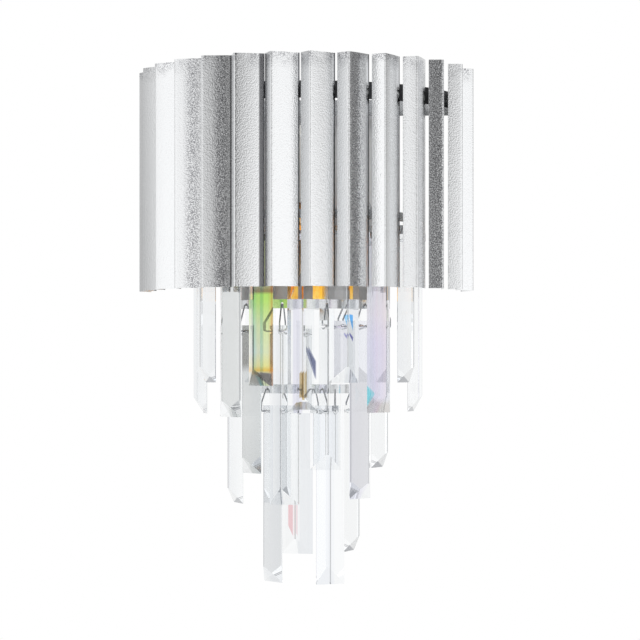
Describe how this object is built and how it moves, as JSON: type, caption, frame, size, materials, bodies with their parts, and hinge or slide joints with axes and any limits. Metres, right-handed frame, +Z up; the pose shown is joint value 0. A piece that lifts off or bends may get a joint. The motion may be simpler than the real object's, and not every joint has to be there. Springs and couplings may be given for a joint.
{
  "type": "wall sconce",
  "caption": "Half-drum wall light of folded metal slats with three tiers of hanging prism crystals, a candle lamp and a slotted wall bracket.",
  "frame": {"origin": "middle of the wall bracket's two fixing slots, on the wall", "axes": "+Z up, +X to the light's right seen from the room, -Y out of the wall into the room"},
  "size_m": [0.2284, 0.1343, 0.3477],
  "materials": {
    "slat": "bright silver, the long legs with a fine dark speckle",
    "crystal": "clear cut glass",
    "hook_wire": "bright wire",
    "frame": "plated strip, slightly satin",
    "band": "dark satin paint",
    "fastener": "zinc plated",
    "cap_nut": "polished",
    "plate": "silver-grey enamel",
    "bracket": "zinc plated",
    "holder": "white moulded",
    "lamp_cap": "satin",
    "lamp_glass": "amber tinted glass",
    "terminal": "natural moulded",
    "lead_brown": "brown sheath",
    "lead_blue": "blue sheath"
  },
  "bodies": {
    "root": {"bracket_studs": "fastener", "cap_nuts": "cap_nut", "earth_screw": "fastener", "holder_arm": "plate", "hooks_lower": "hook_wire", "hooks_middle": "hook_wire", "hooks_upper": "hook_wire", "lamp_cap": "lamp_cap", "lamp_glass": "lamp_glass", "lamp_holder": "holder", "lead_live": "lead_brown", "lead_neutral": "lead_blue", "ring_lower": "frame", "ring_middle": "frame", "ring_upper": "frame", "ring_upper_bar": "frame", "slat_01": "slat", "slat_02": "slat", "slat_03": "slat", "slat_04": "slat", "slat_05": "slat", "slat_06": "slat", "slat_07": "slat", "slat_08": "slat", "slat_09": "slat", "slat_10": "slat", "slat_11": "slat", "slat_12": "slat", "slat_13": "slat", "slat_14": "slat", "slat_back_bar": "frame", "slat_band": "band", "slat_nuts": "fastener", "slat_studs": "fastener", "strut_left": "frame", "strut_right": "frame", "terminal_block": "terminal", "wall_bracket": "bracket", "wall_plate": "plate"},
    "crystal_upper_1": {"crystal_upper_1": "crystal"},
    "crystal_upper_2": {"crystal_upper_2": "crystal"},
    "crystal_upper_3": {"crystal_upper_3": "crystal"},
    "crystal_upper_4": {"crystal_upper_4": "crystal"},
    "crystal_upper_5": {"crystal_upper_5": "crystal"},
    "crystal_upper_6": {"crystal_upper_6": "crystal"},
    "crystal_upper_7": {"crystal_upper_7": "crystal"},
    "crystal_upper_8": {"crystal_upper_8": "crystal"},
    "crystal_upper_9": {"crystal_upper_9": "crystal"},
    "crystal_middle_1": {"crystal_middle_1": "crystal"},
    "crystal_middle_2": {"crystal_middle_2": "crystal"},
    "crystal_middle_3": {"crystal_middle_3": "crystal"},
    "crystal_middle_4": {"crystal_middle_4": "crystal"},
    "crystal_middle_5": {"crystal_middle_5": "crystal"},
    "crystal_middle_6": {"crystal_middle_6": "crystal"},
    "crystal_lower_1": {"crystal_lower_1": "crystal"},
    "crystal_lower_2": {"crystal_lower_2": "crystal"},
    "crystal_lower_3": {"crystal_lower_3": "crystal"},
    "crystal_lower_4": {"crystal_lower_4": "crystal"},
    "crystal_rear_left": {"crystal_rear_left": "crystal"},
    "crystal_rear_right": {"crystal_rear_right": "crystal"}
  },
  "joints": [
    {"name": "swing_upper_1", "type": "hinge", "parent": "root", "child": "crystal_upper_1", "pos_m": [-0.07495, -0.02112, -0.0265], "axis": [-0.2079, 0.9781, 0], "range_deg": [-2.5, 10]},
    {"name": "swing_upper_2", "type": "hinge", "parent": "root", "child": "crystal_upper_2", "pos_m": [-0.06852, -0.04901, -0.025], "axis": [-0.4067, 0.9135, 0], "range_deg": [-2.5, 10]},
    {"name": "swing_upper_3", "type": "hinge", "parent": "root", "child": "crystal_upper_3", "pos_m": [-0.0521, -0.07245, -0.028], "axis": [-0.7193, 0.6947, 0], "range_deg": [-2.5, 10]},
    {"name": "swing_upper_4", "type": "hinge", "parent": "root", "child": "crystal_upper_4", "pos_m": [-0.03051, -0.08702, -0.027], "axis": [-0.7986, 0.6018, 0], "range_deg": [-2.5, 10]},
    {"name": "swing_upper_5", "type": "hinge", "parent": "root", "child": "crystal_upper_5", "pos_m": [0, -0.0935, -0.025], "axis": [-1, 0, 0], "range_deg": [-2.5, 10]},
    {"name": "swing_upper_6", "type": "hinge", "parent": "root", "child": "crystal_upper_6", "pos_m": [0.0281, -0.08804, -0.025], "axis": [-0.9272, -0.3746, 0], "range_deg": [-2.5, 10]},
    {"name": "swing_upper_7", "type": "hinge", "parent": "root", "child": "crystal_upper_7", "pos_m": [0.0521, -0.07245, -0.025], "axis": [-0.7193, -0.6947, 0], "range_deg": [-2.5, 10]},
    {"name": "swing_upper_8", "type": "hinge", "parent": "root", "child": "crystal_upper_8", "pos_m": [0.06954, -0.0466, -0.025], "axis": [-0.3746, -0.9272, 0], "range_deg": [-2.5, 10]},
    {"name": "swing_upper_9", "type": "hinge", "parent": "root", "child": "crystal_upper_9", "pos_m": [0.07495, -0.02112, -0.025], "axis": [-0.2079, -0.9781, 0], "range_deg": [-2.5, 10]},
    {"name": "swing_middle_1", "type": "hinge", "parent": "root", "child": "crystal_middle_1", "pos_m": [-0.05121, -0.02753, -0.088], "axis": [-0.3746, 0.9272, 0], "range_deg": [-1, 6]},
    {"name": "swing_middle_2", "type": "hinge", "parent": "root", "child": "crystal_middle_2", "pos_m": [-0.03954, -0.05227, -0.0865], "axis": [-0.6494, 0.7604, 0], "range_deg": [-1, 6]},
    {"name": "swing_middle_3", "type": "hinge", "parent": "root", "child": "crystal_middle_3", "pos_m": [-0.01477, -0.06836, -0.0868], "axis": [-0.9588, 0.284, 0], "range_deg": [-1, 6]},
    {"name": "swing_middle_4", "type": "hinge", "parent": "root", "child": "crystal_middle_4", "pos_m": [0.01477, -0.06836, -0.0835], "axis": [-0.9588, -0.284, 0], "range_deg": [-1, 6]},
    {"name": "swing_middle_5", "type": "hinge", "parent": "root", "child": "crystal_middle_5", "pos_m": [0.03954, -0.05227, -0.0835], "axis": [-0.6494, -0.7604, 0], "range_deg": [-1, 6]},
    {"name": "swing_middle_6", "type": "hinge", "parent": "root", "child": "crystal_middle_6", "pos_m": [0.05156, -0.02529, -0.0835], "axis": [-0.3665, -0.9304, 0], "range_deg": [-1, 6]},
    {"name": "swing_lower_1", "type": "hinge", "parent": "root", "child": "crystal_lower_1", "pos_m": [-0.02565, -0.04527, -0.1405], "axis": [-0.6293, 0.7771, 0], "range_deg": [0, 4]},
    {"name": "swing_lower_2", "type": "hinge", "parent": "root", "child": "crystal_lower_2", "pos_m": [-0.00601, -0.05695, -0.1405], "axis": [-0.9833, 0.1822, 0], "range_deg": [0, 4]},
    {"name": "swing_lower_3", "type": "hinge", "parent": "root", "child": "crystal_lower_3", "pos_m": [0.01498, -0.0539, -0.1405], "axis": [-0.891, -0.454, 0], "range_deg": [0, 4]},
    {"name": "swing_lower_4", "type": "hinge", "parent": "root", "child": "crystal_lower_4", "pos_m": [0.03222, -0.03164, -0.1405], "axis": [-0.3338, -0.9426, 0], "range_deg": [0, 4]},
    {"name": "swing_rear_left", "type": "hinge", "parent": "root", "child": "crystal_rear_left", "pos_m": [-0.033, -0.01775, -0.0265], "axis": [-1, 0, 0], "range_deg": [-1, 1.2]},
    {"name": "swing_rear_right", "type": "hinge", "parent": "root", "child": "crystal_rear_right", "pos_m": [0.033, -0.01775, -0.0265], "axis": [-1, 0, 0], "range_deg": [-1, 1.2]}
  ]
}
